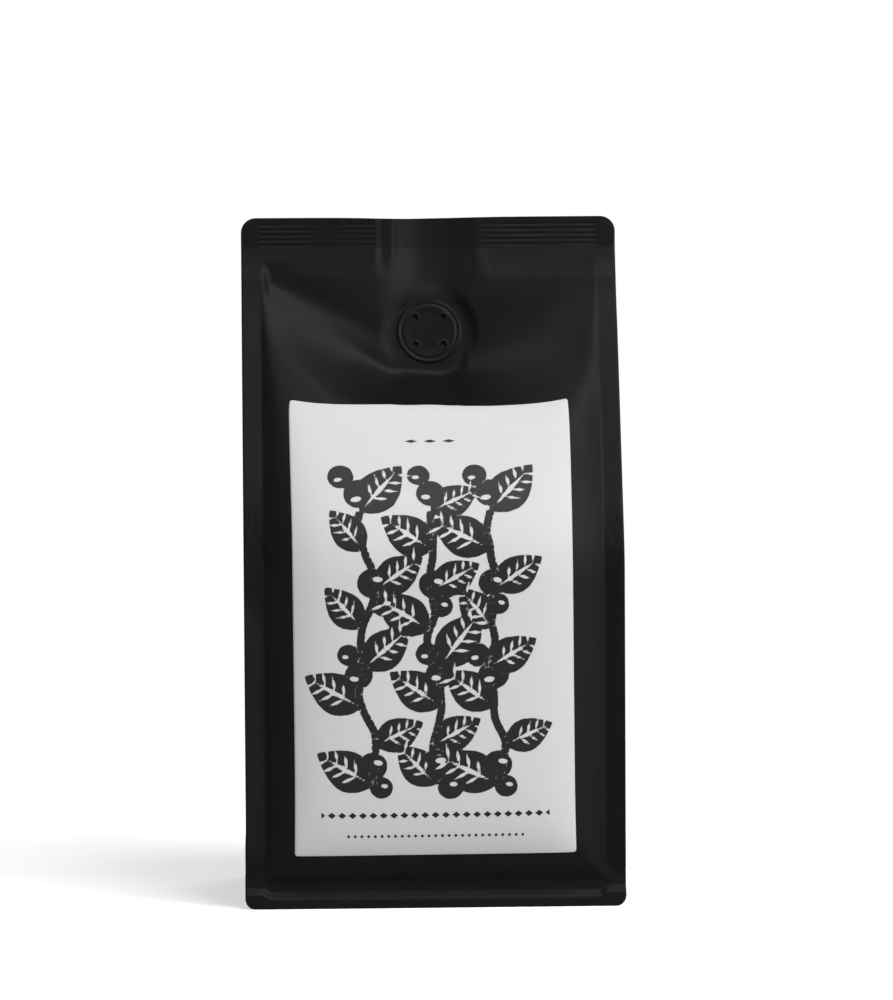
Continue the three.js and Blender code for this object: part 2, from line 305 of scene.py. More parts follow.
def gusset_x(t, z):
    """Distance of a side wall from the middle. T runs from -1 at the front seam to 1 at the back one."""
    to_seam = np.abs(t)
    low = 1 - (1 - np.clip((z - BOTTOM_SEAL) / 45, 0, 1)) ** 3
    high = 1 - smooth(96, SHOULDER + 14, z)
    bulge = SIDE_BULGE * least_of(1 - to_seam**2.5, low, high)
    crease = 0.5 * bell(t / 0.03) * smooth(12, 30, z) * (1 - smooth(SHOULDER, 150, z))
    drape = 0.22 * wander(t * 5 + z * 0.06, 9) * (1 - to_seam**4) * smooth(70, 120, z)
    return SEAM_X + bulge - crease - fold_depth(z) * (1 - to_seam) ** 1.1 + drape * (1 - smooth(150, 180, z))


print("half width at the shoulder:", round(float(half_width(SHOULDER)), 2))

# %% [markdown]
# ## The film as one skin
# The pouch is one closed skin, so it is lofted: at every height a loop runs over the front, round a corner
# seal, along the folded side, and back over the other half. Rows are close together in the two seals and
# columns near the seams and the valve, where fine relief needs them, and both are wider in between.


# %% The loops' rows and columns
def spread(count, low, high, density):
    """Count + 1 places from low to high, closer together where the density is higher."""
    fine = np.linspace(low, high, 2000)
    total = np.concatenate([[0], np.cumsum(density((fine[1:] + fine[:-1]) / 2))])
    return np.interp(np.linspace(0, total[-1], count + 1), total, fine)


# Each zone of rows: from, to and step
ROW_ZONES = [
    (BOTTOM_CORNER_RADIUS, 17, 0.45),
    (17, 106, 1.7),
    (106, SEAL_FOOT - 6, 0.85),
    (SEAL_FOOT - 6, BAG_HEIGHT - 1, 0.25),
]
CORNER_ROWS = 6


def film_rows():
    """Heights of the loops: the zones, and at both ends the arc of the rounded corners."""
    bends = np.linspace(0, math.pi / 2, CORNER_ROWS + 1)
    rows = [BOTTOM_CORNER_RADIUS * (1 - np.cos(bends[:-1]))]
    for start, end, step in ROW_ZONES:
        rows.append(np.arange(start, end, step))
    last_bends = np.linspace(math.asin(1 - 1 / TOP_CORNER_RADIUS), math.pi / 2, CORNER_ROWS + 1)
    rows.append(BAG_HEIGHT - TOP_CORNER_RADIUS * (1 - np.sin(last_bends)))
    return np.concatenate(rows)


rows = film_rows()
front_places = spread(150, -1, 1, lambda s: 1 + bell(s / 0.35) + 1.5 * bell((1 - np.abs(s)) / 0.08))
back_places = np.linspace(-1, 1, 85)
side_places = spread(30, -1, 1, lambda t: 1 + 2 * bell(t / 0.08))
SEAL_COLUMNS = 9
FILM_EDGE = 0.5
print(len(rows), "rows of film")


# %% One panel with its corner seals, and one folded side
def panel_grid(places, depth_of, side):
    """Points of the front (side -1) or back (side 1) film, row by row, from left to right."""
    tip = half_width(rows)[:, None]
    t = np.linspace(0, 1, SEAL_COLUMNS + 1)[None, :-1]
    left = -tip + (tip - SEAM_X) * t
    middle = np.broadcast_to(SEAM_X * places, (len(rows), len(places)))
    right = SEAM_X + (tip - SEAM_X) * (1 - t[:, ::-1])
    x = np.concatenate([left, middle, right], axis=1)
    z = np.broadcast_to(rows[:, None], x.shape)
    return np.stack([x, side * depth_of(x, z), z], axis=-1)


def side_grid(side):
    """Points of one folded side, from the front corner seal's tip round to the back one's."""
    z = rows[:, None]
    depth = seam_depth(z)
    open_edge = np.minimum(FILM_EDGE, 0.45 * depth)
    edge = open_edge + (0.97 * depth - open_edge) * smooth(SEAL_FOOT - 1.5, SEAL_FOOT + 0.5, z)
    x = side * gusset_x(side_places[None, :], z)
    # The folded layers follow the panels where these are drawn in
    drawn_in = valley_depth(np.clip(x / SEAM_X, -1, 1), z) * np.where(side_places < 0, 1, 0.6) * -side_places
    y = (depth - edge) * side_places + seal_shift(x, z) + drawn_in
    fold = np.stack([x, y, np.broadcast_to(z, x.shape)], axis=-1)
    out = np.linspace(0, 1, SEAL_COLUMNS + 1)[None, :]
    reach = side * (half_width(z) + (SEAM_X - half_width(z)) * out)
    flat = np.broadcast_to(z, reach.shape)
    front = np.stack([reach, edge - front_depth(reach, flat), flat], axis=-1)
    back = np.stack([reach, back_depth(reach, flat) - edge, flat], axis=-1)
    return np.concatenate([front[:, :-1], fold, back[:, ::-1][:, 1:]], axis=1)


front = panel_grid(front_places, front_depth, -1)
back = panel_grid(back_places, back_depth, 1)
loops = np.concatenate([front, side_grid(1), back[:, ::-1], side_grid(-1)[:, ::-1]], axis=1)
EDGE_DIP = 0.6
loops[..., 2] -= EDGE_DIP * bell((loops[..., 0] + 4) / 17) * smooth(NECK, BAG_HEIGHT, loops[..., 2])
print("each loop has", loops.shape[1], "points")


# %% Skin the loops
def mesh_object(name, points, faces):
    mesh = bpy.data.meshes.new(name)
    mesh.from_pydata([tuple(p) for p in np.asarray(points) * MM], [], [tuple(f) for f in faces])
    mesh.validate()
    mesh.polygons.foreach_set("use_smooth", np.ones(len(mesh.polygons), dtype=bool))
    piece = bpy.data.objects.new(name, mesh)
    bpy.context.collection.objects.link(piece)
    return piece


def ring_faces(ring_count, width, first=0):
    """Four-sided faces between closed rings of points that follow each other."""
    j, i = np.meshgrid(np.arange(ring_count - 1), np.arange(width), indexing="ij")
    a, b = first + j * width + i, first + j * width + (i + 1) % width
    return [tuple(f) for f in np.stack([a, b, b + width, a + width], axis=-1).reshape(-1, 4)]


def flat_cap(outlines, offsets, up):
    """Triangles that close a flat end. A second outline is a hole in the first."""
    flat = [[Vector((p[0], p[1], 0)) for p in outline] for outline in outlines]
    corners = [corner for outline in flat for corner in outline]
    numbers = [offset + k for outline, offset in zip(flat, offsets) for k in range(len(outline))]
    faces = []
    for triangle in geometry.tessellate_polygon(flat):
        a, b, c = (corners[k] for k in triangle)
        facing_up = (b - a).cross(c - a).z > 0
        ordered = triangle if facing_up == up else triangle[::-1]
        faces.append(tuple(numbers[k] for k in ordered))
    return faces


square = [(0, 0), (1, 0), (1, 1), (0, 1)]
print("flat_cap closes a square with", len(flat_cap([square], [0], True)), "triangles")

# %% [markdown]
# ## The underside
# A flat-bottom pouch stands on the welded rim of its bottom panel, and the panel itself is drawn up a little
# inside that rim. It is cut into the skin's lower cap as a shallow tray with rounded corners.

# %% The recessed base
BASE_HALF_X = 51.0
BASE_HALF_Y = 35.5
BASE_RADIUS = 6.0
# Inset and height of each ring, from the rim inwards
BASE_STEPS = [(0.0, 0.0), (0.6, 0.5), (1.4, 1.6), (3.2, 2.1), (30.0, 1.7)]


def base_ring(inset, height, points=96):
    """A rounded rectangle, from its half sizes less the inset."""
    turn = np.linspace(0, 2 * math.pi, points, endpoint=False)
    radius = max(BASE_RADIUS - inset * 0.5, 1.0)
    half_x, half_y = BASE_HALF_X - inset, BASE_HALF_Y - inset
    x = np.sign(np.cos(turn)) * (half_x - radius) + radius * np.cos(turn)
    y = np.sign(np.sin(turn)) * (half_y - radius) + radius * np.sin(turn)
    return np.stack([x, y, np.full_like(x, height)], axis=-1)


base = np.stack([base_ring(inset, height) for inset, height in BASE_STEPS])
skin_points = np.concatenate([loops.reshape(-1, 3), base.reshape(-1, 3)])
width, top_ring = loops.shape[1], (len(rows) - 1) * loops.shape[1]
base_start = loops.shape[0] * width
skin_faces = ring_faces(len(rows), width)
skin_faces += flat_cap([loops[-1]], [top_ring], True)
skin_faces += flat_cap([loops[0], base[0]], [0, base_start], False)
skin_faces += ring_faces(len(base), base.shape[1], base_start)
skin_faces += flat_cap([base[-1]], [base_start + (len(base) - 1) * base.shape[1]], False)
pouch = mesh_object("pouch_film", skin_points, skin_faces)
print("pouch film:", len(pouch.data.polygons), "faces")

# %% [markdown]
# ## Geometry Nodes helpers
# What repeats on this bag is made with Geometry Nodes: the ribs pressed into the top seal, the vents of the
# valve and the printed branches of the label. A few helpers keep the trees short. One starts a tree with
# named inputs, one adds a node and wires it in the same line, some stand for common steps of arithmetic,
# and one runs a finished tree on a piece and keeps the result as a plain mesh.


# %% Start a tree, wire nodes, run a tree
def new_tree(name, **inputs):
    """Inputs are given by kind. Returns the tree and the outputs of its input node."""
    tree = bpy.data.node_groups.new(name, "GeometryNodeTree")
    tree.interface.new_socket(name="Geometry", in_out="OUTPUT", socket_type="NodeSocketGeometry")
    tree.interface.new_socket(name="Geometry", in_out="INPUT", socket_type="NodeSocketGeometry")
    for kind, titles in inputs.items():
        for title in titles:
            tree.interface.new_socket(name=title, in_out="INPUT", socket_type="NodeSocket" + kind)
    return tree, tree.nodes.new("NodeGroupInput").outputs


def wire(tree, node, *wires):
    """Sets inputs. Each wire is a socket with a value, an output, or a node for its first output."""
    for socket, value in wires:
        if isinstance(value, bpy.types.Node):
            value = value.outputs[0]
        if isinstance(value, bpy.types.NodeSocket):
            tree.links.new(value, node.inputs[socket])
        else:
            node.inputs[socket].default_value = value


def add(tree, kind, *wires, **settings):
    node = tree.nodes.new(kind)
    for option, value in settings.items():
        setattr(node, option, value)
    wire(tree, node, *wires)
    return node


def calc(tree, operation, *values):
    """One step of arithmetic between numbers or outputs."""
    return add(tree, "ShaderNodeMath", *enumerate(values), operation=operation).outputs[0]


def product(tree, total, *others):
    for other in others:
        total = calc(tree, "MULTIPLY", total, other)
    return total


def vector_of(tree, **parts):
    return add(tree, "ShaderNodeCombineXYZ", *parts.items()).outputs[0]


def live_output(node):
    """The output in use, on a node whose outputs change with its data type."""
    return [socket for socket in node.outputs if socket.enabled][0]


def chance(tree, low, high, *wires):
    """A random number for each point."""
    wires = (("Min", low), ("Max", high), *wires)
    return live_output(add(tree, "FunctionNodeRandomValue", *wires, data_type="FLOAT"))


def step_between(tree, value, start, end, low=0.0, high=1.0, kind="SMOOTHSTEP"):
    """A step from low at start to high at end, smooth unless its kind is linear."""
    wires = (("Value", value), ("From Min", start), ("From Max", end), ("To Min", low), ("To Max", high))
    return add(tree, "ShaderNodeMapRange", *wires, interpolation_type=kind).outputs["Result"]


def run_tree(piece, tree, **values):
    """Sets the inputs by their identifiers, evaluates the tree once and keeps a plain mesh."""
    modifier = piece.modifiers.new(tree.name, "NODES")
    modifier.node_group = tree
    for item in tree.interface.items_tree:
        key = item.name.lower().replace(" ", "_")
        if item.in_out == "INPUT" and key in values:
            modifier[item.identifier] = values[key]
    bpy.context.view_layer.update()
    graph = bpy.context.evaluated_depsgraph_get()
    mesh = bpy.data.meshes.new_from_object(
        piece.evaluated_get(graph), preserve_all_data_layers=True, depsgraph=graph
    )
    piece.modifiers.clear()
    piece.data = mesh
    mesh.name = piece.name
    return mesh


def finish_tree(tree, shape, material):
    """Every tree ends the same way: real geometry with its material."""
    solid = add(tree, "GeometryNodeRealizeInstances", ("Geometry", shape))
    painted = add(tree, "GeometryNodeSetMaterial", ("Geometry", solid), ("Material", material))
    add(tree, "NodeGroupOutput", ("Geometry", painted))


print("helpers ready")

# %% [markdown]
# ## Finish of the film
# The film is a matt laminate: black all through, with a broad, weak gloss. Under a lamp it shows a very fine
# grain, and it is a little shinier where it has been rubbed. The grain is a small bump and the rubbing a slow
# change of roughness, both in the object's own coordinates, so they stay put on the film. Two needle marks
# above the valve are pits in the same finish.


# %% Film material
def new_material(name):
    material = bpy.data.materials.new(name)
    material.use_nodes = True
    tree = material.node_tree
    return material, tree, tree.nodes["Principled BSDF"]


def emboss(tree, shader, strength, distance, height):
    """Adds a bump to a shader, over any that it has already."""
    bump = add(tree, "ShaderNodeBump", ("Strength", strength), ("Distance", distance), ("Height", height))
    normal = shader.inputs["Normal"]
    if normal.is_linked:
        tree.links.new(normal.links[0].from_socket, bump.inputs["Normal"])
    tree.links.new(bump.outputs["Normal"], normal)


def noise(tree, place, scale, detail=2.0, roughness=0.5):
    wires = (("Vector", place), ("Scale", scale), ("Detail", detail), ("Roughness", roughness))
    return add(tree, "ShaderNodeTexNoise", *wires).outputs["Fac"]


FILM_BLACK = 0.0042
FILM_GLOSS = 0.11
FILM_ROUGHNESS = 0.5
PINHOLES = [(-8.4, 197.3), (9.5, 197.4)]
PINHOLE_RADIUS = 0.5


def pinhole_relief(tree, place):
    """1 on the film and 0 in the two needle marks above the valve."""
    pits = []
    for x, z in PINHOLES:
        spot = (x * MM, -front_depth(x, z) * MM, z * MM)
        away = add(tree, "ShaderNodeVectorMath", (0, place), (1, spot), operation="DISTANCE").outputs["Value"]
        pits.append(step_between(tree, away, 0.4 * PINHOLE_RADIUS * MM, 1.3 * PINHOLE_RADIUS * MM))
    return product(tree, *pits)


def film_material(name, roughness):
    material, tree, shader = new_material(name)
    place = add(tree, "ShaderNodeTexCoord").outputs["Object"]
    rubbed = noise(tree, place, 38, 4, 0.6)
    grain = noise(tree, place, 1500, 3, 0.65)
    ripple = noise(tree, place, 90)
    tone = step_between(tree, rubbed, 0.3, 0.7, FILM_BLACK * 0.9, FILM_BLACK * 1.12)
    tint = add(tree, "ShaderNodeCombineColor", ("Red", tone), ("Green", tone), ("Blue", tone))
    worn = step_between(tree, rubbed, 0.25, 0.75, roughness - 0.04, roughness + 0.04)
    wire(tree, shader, ("Base Color", tint), ("Roughness", worn), ("Specular IOR Level", FILM_GLOSS))
    emboss(tree, shader, 0.35, 0.0002, ripple)
    emboss(tree, shader, 0.3, 0.00004, grain)
    emboss(tree, shader, 1.0, 0.0012, pinhole_relief(tree, place))
    return material


film = film_material("matt_black_film", FILM_ROUGHNESS)
valve_film = film_material("valve_black_film", FILM_ROUGHNESS - 0.06)
print("film finishes:", film.name, valve_film.name)

# %% [markdown]
# ## Ribs of the top seal
# Heated jaws with ribs press the two films together, and leave five shallow grooves below the top edge. They
# show where four layers of film lie together and fade out over the thinner middle. A repeated relief along
# the height is a rule, so a tree moves the points of the skin: a cosine of the height, times a mask.

# %% Geometry Nodes: the seal's ribs
tree, given = new_tree(
    "seal_ribs", Float=("Foot", "Pitch", "Depth", "Inner", "Outer"), Int=("Grooves",), Material=("Material",)
)
place = add(tree, "GeometryNodeInputPosition").outputs[0]
split = add(tree, "ShaderNodeSeparateXYZ", ("Vector", place)).outputs
above = calc(tree, "SUBTRACT", split["Z"], given["Foot"])
turns = calc(tree, "DIVIDE", above, given["Pitch"])
wave = calc(tree, "COSINE", product(tree, turns, 2 * math.pi))
groove = calc(tree, "POWER", calc(tree, "MULTIPLY_ADD", wave, -0.5, 0.5), 2.0)
below_last = calc(tree, "LESS_THAN", turns, given["Grooves"])
in_ribs = product(tree, calc(tree, "GREATER_THAN", turns, 0.0), below_last)
aside = calc(tree, "ABSOLUTE", split["X"])
past_inner = step_between(tree, calc(tree, "SUBTRACT", aside, given["Inner"]), 0.0, 0.002)
to_outer = step_between(tree, calc(tree, "SUBTRACT", given["Outer"], aside), 0.0, 0.0012)
across = product(tree, past_inner, to_outer)
pressed = step_between(tree, noise(tree, place, 45, 1), 0.32, 0.6, 0.35, 1.0)
push = vector_of(tree, Y=product(tree, groove, across, given["Depth"], in_ribs, pressed))
moved = add(tree, "GeometryNodeSetPosition", ("Geometry", given["Geometry"]), ("Offset", push))
finish_tree(tree, moved, given["Material"])
run_tree(
    pouch, tree, foot=(SEAL_FOOT - 0.05) * MM, pitch=1.7 * MM, depth=0.35 * MM, grooves=5, inner=17 * MM,
    outer=57 * MM, material=film,
)
print("top seal ribbed:", len(pouch.data.vertices), "points")

# %% [markdown]
# ## The label's place on the film
# Paper bends but does not stretch. So a point of the label is found by walking along the curved film for the
# paper's own length, first up the front and then out from the middle, and the paper is lifted off the film
# by a hair so that the two never cross. Every point also keeps its flat place on the paper, in an attribute,
# which the print needs later.

# %% Walk along the film
LABEL_WIDTH = 92.4
LABEL_HEIGHT = 153.1
LABEL_FOOT = 18.5
LABEL_SHIFT = -0.6
LABEL_TURN = 0.005
WALK_STEPS = 60


def film_slope(x, z):
    h = 0.05
    slope_x = (front_form(x + h, z) - front_form(x - h, z)) / (2 * h)
    slope_z = (front_form(x, z + h) - front_form(x, z - h)) / (2 * h)
    return slope_x, slope_z


def on_label(across, up, rise):
    across, up = across - LABEL_TURN * (up - LABEL_HEIGHT / 2), up + LABEL_TURN * across
    z = np.full_like(up, LABEL_FOOT)
    x = np.full_like(across, LABEL_SHIFT)
    for _ in range(WALK_STEPS):
        z = z + up / WALK_STEPS / np.hypot(1, film_slope(across, z)[1])
    for _ in range(WALK_STEPS):
        x = x + across / WALK_STEPS / np.hypot(1, film_slope(x, z)[0])
    slope_x, slope_z = film_slope(x, z)
    normal = np.stack([-slope_x, -np.ones_like(x), -slope_z], axis=-1)
    normal /= np.linalg.norm(normal, axis=-1, keepdims=True)
    return np.stack([x, -front_depth(x, z), z], axis=-1) + normal * rise


# %% The paper
LABEL_COLUMNS = 150
LABEL_ROWS = 244
LABEL_CORNER = 0.9
PAPER_THICKNESS = 0.22
FILM_TO_PAPER = 0.12


def strip_faces(count, width):
    """A sheet with two faces, closed at its rim. Each ring is one row, out over one face and back."""
    faces = ring_faces(count, width)
    for k in range(width // 2 - 1):
        low = (k, k + 1, width - 2 - k, width - 1 - k)
        faces.append(low[::-1])
        faces.append(tuple((count - 1) * width + m for m in low))
    return faces


def paper_grid():
    edge = LABEL_CORNER * (1 - np.cos(np.linspace(0, math.pi / 2, 5)))[:-1]
    middle = np.linspace(LABEL_CORNER, LABEL_HEIGHT - LABEL_CORNER, LABEL_ROWS + 1)
    up = np.concatenate([edge, middle, LABEL_HEIGHT - edge[::-1]])
    to_end = np.minimum(up, LABEL_HEIGHT - up)
    half = LABEL_WIDTH / 2 - corner_cut(LABEL_CORNER - to_end, LABEL_CORNER)
    across = half[:, None] * np.linspace(-1, 1, LABEL_COLUMNS + 1)
    return across, np.broadcast_to(up[:, None], across.shape)


across, up = paper_grid()
outer = on_label(across, up, FILM_TO_PAPER + PAPER_THICKNESS)
inner = on_label(across, up, FILM_TO_PAPER)
rings = np.concatenate([outer, inner[:, ::-1]], axis=1)
label = mesh_object("label_paper", rings.reshape(-1, 3), strip_faces(*rings.shape[:2]))
flat_across = np.concatenate([across, across[:, ::-1]], axis=1)
flat_up = np.concatenate([up, up], axis=1)
flat_place = np.stack([flat_across, flat_up, np.zeros_like(flat_up)], axis=-1) * MM
paper_place = label.data.attributes.new("paper_place", "FLOAT_VECTOR", "POINT")
paper_place.data.foreach_set("vector", flat_place.ravel())
print("label:", len(label.data.polygons), "faces")

# %% [markdown]
# ## The printed branches
# The label carries a bold print in one black ink, like a linocut: branches of a coffee plant with leaves and
# ripe cherries. Wavy stems stand side by side, and leaves and cherries follow each stem. That is a path with
# things set along it, so a tree draws them flat. The ink is not geometry on the paper. The tree measures how
# far each point of the paper lies from the drawn shapes and stores that distance, and the paper's material
# turns the distance into a crisp, slightly ragged edge.


# %% Flat motifs for the print
def flat_motif(name, outlines):
    """A flat shape made of one or more closed outlines, in millimetres."""
    points, faces = [], []
    for outline in outlines:
        faces.append(tuple(range(len(points), len(points) + len(outline))))
        points += [(x, y, 0) for x, y in outline]
    return mesh_object(name, points, faces)


def oval(x, y, half_x, half_y, points=28):
    turn = np.linspace(0, 2 * math.pi, points, endpoint=False)
    return list(zip(x + half_x * np.cos(turn), y + half_y * np.sin(turn)))


def leaf_outline(length, half, points=18):
    """A pointed leaf that grows from the origin along +Y."""
    t = np.linspace(0, 1, points)
    reach = half * np.sin(math.pi * t**0.8) ** 0.9
    right = list(zip(reach, t * length))
    return right + [(-x, y) for x, y in right[::-1][1:-1]]


def sliver(start, end, half):
    """A thin pointed cut between two places, such as a leaf's vein."""
    (x0, y0), (x1, y1) = start, end
    length = math.hypot(x1 - x0, y1 - y0)
    nx, ny = -(y1 - y0) / length * half, (x1 - x0) / length * half
    middle = ((x0 + x1) / 2, (y0 + y1) / 2)
    return [start, (middle[0] + nx, middle[1] + ny), end, (middle[0] - nx, middle[1] - ny)]


LEAF_LENGTH, LEAF_HALF_WIDTH = 20.0, 6.4
VEIN_PAIRS = 4
veins = [sliver((0, 2), (0, LEAF_LENGTH - 3), 0.75)]
for k in range(1, VEIN_PAIRS + 1):
    root = (0, 2.4 + k * 3.4)
    for side in (-1, 1):
        veins.append(sliver(root, (side * 4.6, root[1] + 3.4), 0.5))
leaf_ink = flat_motif("leaf_ink", [leaf_outline(LEAF_LENGTH, LEAF_HALF_WIDTH)])
leaf_cut = flat_motif("leaf_cut", veins)
cherry_ink = flat_motif("cherry_ink", [oval(0, 0, 4.9, 5.1), oval(7.0, 4.4, 3.9, 4.1)])
cherry_cut = flat_motif("cherry_cut", [oval(-1.5, 1.6, 0.9, 1.7, 14), oval(6.2, 5.4, 0.7, 1.3, 14)])
print("motifs drawn: a leaf with", len(veins), "veins, and a pair of cherries")

# %% Geometry Nodes: stems with what grows on them
tree, given = new_tree(
    "label_print",
    Int=("Stems", "Seed"),
    Float=("Stem Gap", "Stem Width", "Print Height", "Print Foot", "Leaf Gap"),
    Object=("Leaf Ink", "Leaf Cut", "Cherry Ink", "Cherry Cut"),
    Material=("Material",),
)
top_of_print = calc(tree, "ADD", given["Print Foot"], given["Print Height"])
line = add(
    tree, "GeometryNodeCurvePrimitiveLine",
    ("Start", vector_of(tree, Y=given["Print Foot"])), ("End", vector_of(tree, Y=top_of_print)),
)
fine_line = add(tree, "GeometryNodeResampleCurve", ("Curve", line), ("Count", 48))
span = product(tree, calc(tree, "SUBTRACT", given["Stems"], 1.0), given["Stem Gap"])
feet = add(
    tree, "GeometryNodeMeshLine", ("Count", given["Stems"]),
    ("Start Location", vector_of(tree, X=product(tree, span, -0.5))),
    ("Offset", vector_of(tree, X=given["Stem Gap"])),
)
rows_of_lines = add(tree, "GeometryNodeInstanceOnPoints", ("Points", feet), ("Instance", fine_line))
lines = add(tree, "GeometryNodeRealizeInstances", ("Geometry", rows_of_lines))
place = add(tree, "GeometryNodeInputPosition").outputs[0]
sway = calc(tree, "MULTIPLY_ADD", noise(tree, place, 30, 1.5), 0.03, -0.015)
swaying = ("Offset", vector_of(tree, X=sway))
stems = add(tree, "GeometryNodeSetPosition", ("Geometry", lines), swaying)
half_stem = product(tree, given["Stem Width"], 0.5)
ribbon = add(
    tree, "GeometryNodeCurvePrimitiveLine",
    ("Start", vector_of(tree, X=product(tree, half_stem, -1.0))), ("End", vector_of(tree, X=half_stem)),
)
upright = add(tree, "GeometryNodeSetCurveNormal", ("Curve", stems), mode="Z_UP")
stem_ink = add(tree, "GeometryNodeCurveToMesh", ("Curve", upright), ("Profile Curve", ribbon))
print("stems drawn in", len(tree.nodes), "nodes")


# %% Geometry Nodes: set leaves and cherries along the stems
def along_stems(spacing, shift_share, ink, cut, lean, seed_step):
    """Instances of one motif and of its cuts, left and right in turn. Returns both geometries."""
    spots = add(tree, "GeometryNodeCurveToPoints", ("Curve", upright), ("Length", spacing), mode="LENGTH")
    number = add(tree, "GeometryNodeInputIndex").outputs[0]
    side = calc(tree, "MULTIPLY_ADD", calc(tree, "MODULO", number, 2.0), 2.0, -1.0)
    seed = calc(tree, "ADD", given["Seed"], float(seed_step))
    jitter = chance(tree, -0.28, 0.28, ("Seed", seed))
    turned = vector_of(tree, Z=calc(tree, "ADD", product(tree, side, lean), jitter))
    size = chance(tree, 0.84, 1.12, ("Seed", seed))
    slide = vector_of(tree, Y=product(tree, spacing, shift_share))
    moved = add(tree, "GeometryNodeSetPosition", ("Geometry", spots.outputs["Points"]), ("Offset", slide))
    shapes = []
    for motif in (ink, cut):
        source = add(tree, "GeometryNodeObjectInfo", ("Object", motif))
        copies = add(
            tree, "GeometryNodeInstanceOnPoints", ("Points", moved),
            ("Instance", source.outputs["Geometry"]), ("Rotation", turned), ("Scale", size),
        )
        shapes.append(add(tree, "GeometryNodeRealizeInstances", ("Geometry", copies)).outputs[0])
    return shapes


LEAF_LEAN = math.radians(52)
leaves, leaf_cuts = along_stems(given["Leaf Gap"], 0.0, given["Leaf Ink"], given["Leaf Cut"], -LEAF_LEAN, 1)
fruit_gap = product(tree, given["Leaf Gap"], 2.0)
cherries, cherry_cuts = along_stems(
    fruit_gap, 0.26, given["Cherry Ink"], given["Cherry Cut"], math.radians(95), 7
)
print("print tree has", len(tree.nodes), "nodes")


# %% Geometry Nodes: measure the paper's distance to the print
def join(*shapes):
    node = add(tree, "GeometryNodeJoinGeometry")
    for shape in shapes:
        tree.links.new(shape, node.inputs[0])
    return node.outputs[0]


flat_at = add(tree, "GeometryNodeInputNamedAttribute", ("Name", "paper_place"), data_type="FLOAT_VECTOR")


def signed_distance(shape):
    """Distance to a flat shape's outline, negative inside it, in millimetres."""
    wires = ((0, shape), ("Sample Position", live_output(flat_at)))
    to_face = add(tree, "GeometryNodeProximity", *wires, target_element="FACES")
    to_edge = add(tree, "GeometryNodeProximity", *wires, target_element="EDGES")
    outside = calc(tree, "GREATER_THAN", to_face.outputs["Distance"], 1e-6)
    way = calc(tree, "MULTIPLY_ADD", outside, 2.0, -1.0)
    return product(tree, way, to_edge.outputs["Distance"], 1 / MM)


shape = given["Geometry"]
for title, drawn in (
    ("ink_distance", join(stem_ink.outputs[0], leaves, cherries)),
    ("cut_distance", join(leaf_cuts, cherry_cuts)),
):
    store = add(
        tree, "GeometryNodeStoreNamedAttribute", ("Geometry", shape), ("Name", title),
        ("Value", signed_distance(drawn)), data_type="FLOAT", domain="POINT",
    )
    shape = store.outputs[0]
finish_tree(tree, shape, given["Material"])
print("print tree finished with", len(tree.nodes), "nodes")

# %% [markdown]
# ## Paper and ink
# The label is uncoated white paper, a little grey in the studio light, with a fine fibre that catches the
# light. Ink lies where the stored distance is below zero. A little noise is added to the distance first, so
# that the edge is ragged like a hand-cut block, and the ink has a few thin spots. Below the branches, where a
# label would carry its lines of text, there is a row of small lozenges and a dotted rule. Above them there
# are three flat lozenges.


# %% Paper material
def ornament_row(tree, x, y, height, half_length, pitch, half_mark, slant):
    """A row of small lozenges: 1 inside a mark and 0 elsewhere. Sizes are in millimetres."""
    aside = calc(tree, "PINGPONG", x, pitch / 2)
    rise = calc(tree, "ABSOLUTE", calc(tree, "SUBTRACT", y, height))
    reach = calc(tree, "ADD", aside, product(tree, rise, slant))
    inside = calc(tree, "LESS_THAN", reach, half_mark)
    in_row = calc(tree, "LESS_THAN", calc(tree, "ABSOLUTE", x), half_length)
    return product(tree, inside, in_row)


PAPER_WHITE = (0.5, 0.502, 0.504)
INK_BLACK = (0.0075, 0.0075, 0.008, 1)
TITLE_ROW = dict(height=13.9, half_length=37.4, pitch=3.4, half_mark=1.35, slant=1.3)
SMALL_ROW = dict(height=6.8, half_length=29.0, pitch=2.2, half_mark=0.62, slant=1.0)
TOP_ROW = dict(height=139.5, half_length=9.4, pitch=6.2, half_mark=2.2, slant=3.4)


